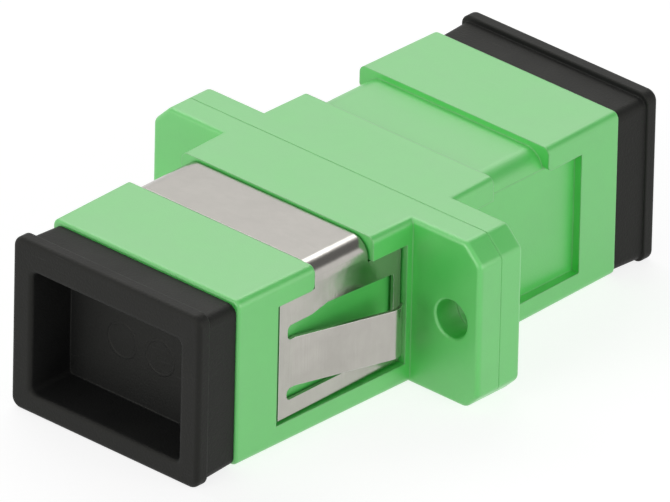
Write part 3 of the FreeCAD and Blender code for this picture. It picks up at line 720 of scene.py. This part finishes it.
class ADAPTER_OT_studio(bpy.types.Operator):
    """Set the camera, the pale floor, the light tent and its soft panels"""
    bl_idname = "adapter.studio"
    bl_label = "Studio"

    def camera(self, scene, values):
        """Camera at an azimuth and elevation round the aim, rolled about its own axis."""
        lens = bpy.data.cameras.new("camera")
        lens.lens, lens.sensor_width, lens.sensor_fit = values.lens, 36.0, "HORIZONTAL"
        lens.clip_start, lens.clip_end = 0.1, 20.0
        az, el = values.azimuth, values.elevation
        back = Vector((math.sin(az) * math.cos(el), -math.cos(az) * math.cos(el),
                       math.sin(el)))
        turn = back.to_track_quat("Z", "Y").to_matrix().to_4x4()
        camera = bpy.data.objects.new("camera", lens)
        camera.matrix_world = (Matrix.Translation(Vector(values.aim) + values.distance * back)
                               @ turn @ Matrix.Rotation(values.roll, 4, "Z"))
        scene.collection.objects.link(camera)
        scene.camera = camera

    def floor(self, scene, values):
        """Pale sheet under the adapter; where it is seen, white is added and its own light
        turned down, so that it shows white with a soft shadow."""
        reach, level = FLOOR_REACH, CAD_BOX[0][2]
        corners = [(-reach, -reach, level), (reach, -reach, level), (reach, reach, level),
                   (-reach, reach, level)]
        mesh = bpy.data.meshes.new("floor")
        mesh.from_pydata(corners, [], [(0, 1, 2, 3)])
        sheet = bpy.data.objects.new("floor", mesh)
        scene.collection.objects.link(sheet)
        material = bpy.data.materials.new("floor_sheet")
        material.use_nodes = True
        tree = material.node_tree
        tree.nodes.clear()
        spot = add(tree, "ShaderNodeTexCoord", (-900, 0)).outputs["Object"]
        fibre = add(tree, "ShaderNodeTexNoise", (-700, 0), {
            "Vector": spot, "Scale": 900.0, "Detail": 3.0})
        tint = blend_colour(tree, (-450, 100), fibre.outputs[0], values.floor_colour,
                            [0.985 * c for c in values.floor_colour])
        ray = add(tree, "ShaderNodeLightPath", (-900, -300)).outputs
        seen = sums(tree, (-650, -250), "MAXIMUM", ray["Is Camera Ray"], ray["Is Glossy Ray"])
        seen = sums(tree, (-450, -250), "MAXIMUM", seen, ray["Is Transmission Ray"])
        tint = blend_colour(tree, (-250, 100), seen, tint,
                            [FLOOR_SEEN * c for c in values.floor_colour])
        paper = add(tree, "ShaderNodeBsdfDiffuse", (0, 100), {"Color": tint})
        lift = sums(tree, (-250, -250), "MULTIPLY", seen, values.floor_lift)
        white = add(tree, "ShaderNodeEmission", (0, -100), {
            "Color": (1, 1, 1, 1), "Strength": lift})
        whole = add(tree, "ShaderNodeAddShader", (200, 0), {
            0: paper.outputs[0], 1: white.outputs[0]})
        output = add(tree, "ShaderNodeOutputMaterial", (400, 0))
        tree.links.new(whole.outputs[0], output.inputs["Surface"])
        mesh.materials.append(material)

    def tent(self, scene, values):
        """World that shows white; as light it is even all round and dimmer overhead, and
        shiny faces alone see a dark gap in it."""
        world = bpy.data.worlds.new("light_tent")
        scene.world = world
        world.use_nodes = True
        tree = world.node_tree
        ground = tree.nodes["Background"]
        ray = add(tree, "ShaderNodeLightPath", (-600, 0)).outputs
        seen = sums(tree, (-400, 0), "MAXIMUM", ray["Is Camera Ray"], ray["Is Glossy Ray"])
        seen = sums(tree, (-200, 0), "MAXIMUM", seen, ray["Is Transmission Ray"])
        way = add(tree, "ShaderNodeTexCoord", (-800, -300)).outputs["Generated"]
        height = add(tree, "ShaderNodeSeparateXYZ", (-600, -300), {0: way}).outputs["Z"]
        light = span(tree, (-400, -300), height, 0.0, 1.0, values.surround,
                     values.surround * (1 - values.ceiling))
        lift = sums(tree, (-200, -300), "SUBTRACT", 1.0, light)
        level = sums(tree, (0, -200), "MULTIPLY_ADD", seen, lift, light)
        turned = add(tree, "ShaderNodeVectorMath", (-600, -550), {
            0: way, 1: TENT_GAP_WAY}, operation="DOT_PRODUCT").outputs["Value"]
        gap = span(tree, (-400, -550), turned, *TENT_GAP_EDGE, 0.0, values.gap)
        gap = sums(tree, (-200, -550), "MULTIPLY", gap, ray["Is Glossy Ray"])
        level = sums(tree, (150, -300), "SUBTRACT", level, gap)
        ground.inputs["Color"].default_value = (1, 1, 1, 1)
        tree.links.new(level, ground.inputs["Strength"])

    def execute(self, context):
        scene, values = context.scene, context.scene.adapter_studio
        scene.view_settings.view_transform = "Standard"
        self.camera(scene, values)
        self.floor(scene, values)
        self.tent(scene, values)
        soft_panel("back_panel", values.back_power, *BACK_PANEL)
        soft_panel("front_panel", values.front_power, *FRONT_PANEL)
        soft_panel("side_panel", values.side_power, *SIDE_PANEL)
        return {"FINISHED"}


class ADAPTER_PT_panel(bpy.types.Panel):
    """Everything the adapter's picture is made of"""
    bl_idname = "ADAPTER_PT_panel"
    bl_label = "Fibre adapter"
    bl_space_type = "VIEW_3D"
    bl_region_type = "UI"
    bl_category = "Adapter"

    def draw(self, context):
        for operator in OPERATORS:
            self.layout.operator(operator.bl_idname)
        for group, name in GROUPS:
            values = getattr(context.scene, name)
            box = self.layout.box()
            box.label(text=group.__doc__)
            for key in group.__annotations__:
                box.prop(values, key)


OPERATORS = (ADAPTER_OT_studio, ADAPTER_OT_housing, ADAPTER_OT_inner, ADAPTER_OT_clip,
             ADAPTER_OT_caps, ADAPTER_OT_pin_marks, ADAPTER_OT_gate_marks)
CLASSES = tuple(group for group, _ in GROUPS) + OPERATORS + (ADAPTER_PT_panel,)


def register():
    for cls in CLASSES:
        bpy.utils.register_class(cls)
    for group, name in GROUPS:
        setattr(bpy.types.Scene, name, PointerProperty(type=group))


def unregister():
    for _, name in GROUPS:
        delattr(bpy.types.Scene, name)
    for cls in reversed(CLASSES):
        bpy.utils.unregister_class(cls)


def main():
    """Register and run every operator in order."""
    register()
    for operator in OPERATORS:
        call = getattr(bpy.ops.adapter, operator.bl_idname.split(".")[1])
        if call() != {"FINISHED"}:
            raise RuntimeError(operator.bl_label + " did not finish")
    bpy.context.view_layer.update()


if __name__ == "__main__":
    main()
